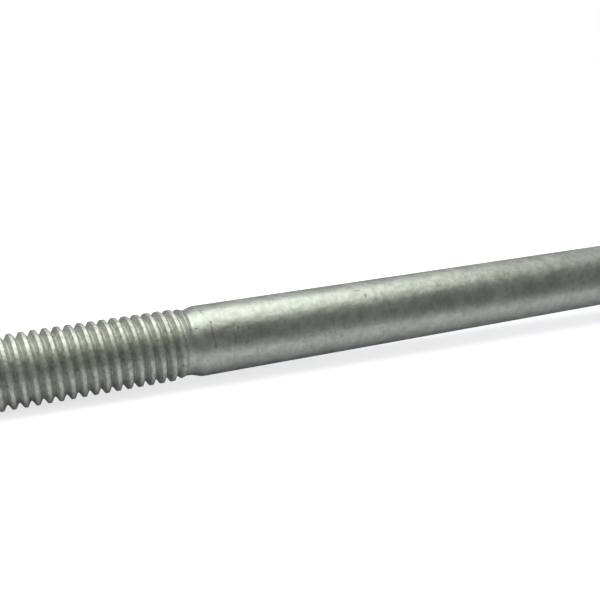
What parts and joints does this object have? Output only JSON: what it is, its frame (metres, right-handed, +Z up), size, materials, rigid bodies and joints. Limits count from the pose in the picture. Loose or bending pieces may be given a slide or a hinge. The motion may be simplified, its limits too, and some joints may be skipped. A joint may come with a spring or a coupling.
{
  "type": "hex head bolt",
  "caption": "Long hex head bolt with a plain shank, a tapered neck and a coarse right-hand rolled thread at its end, lying on its side.",
  "frame": {"origin": "centre of the bearing face under the head, on the bolt's axis", "axes": "-X runs from the head to the tip of the thread, and dips 1.37 degrees because the bolt lies on a level surface; +Z is up, with a flat of the hexagon facing down; +Y completes a right-handed frame"},
  "size_m": [0.1367, 0.0184, 0.0161],
  "materials": {
    "zinc_plated_steel": "satin zinc plating on rolled steel, slightly green-grey, with faint mottling"
  },
  "bodies": {
    "root": {"bolt": "zinc_plated_steel"}
  },
  "joints": []
}
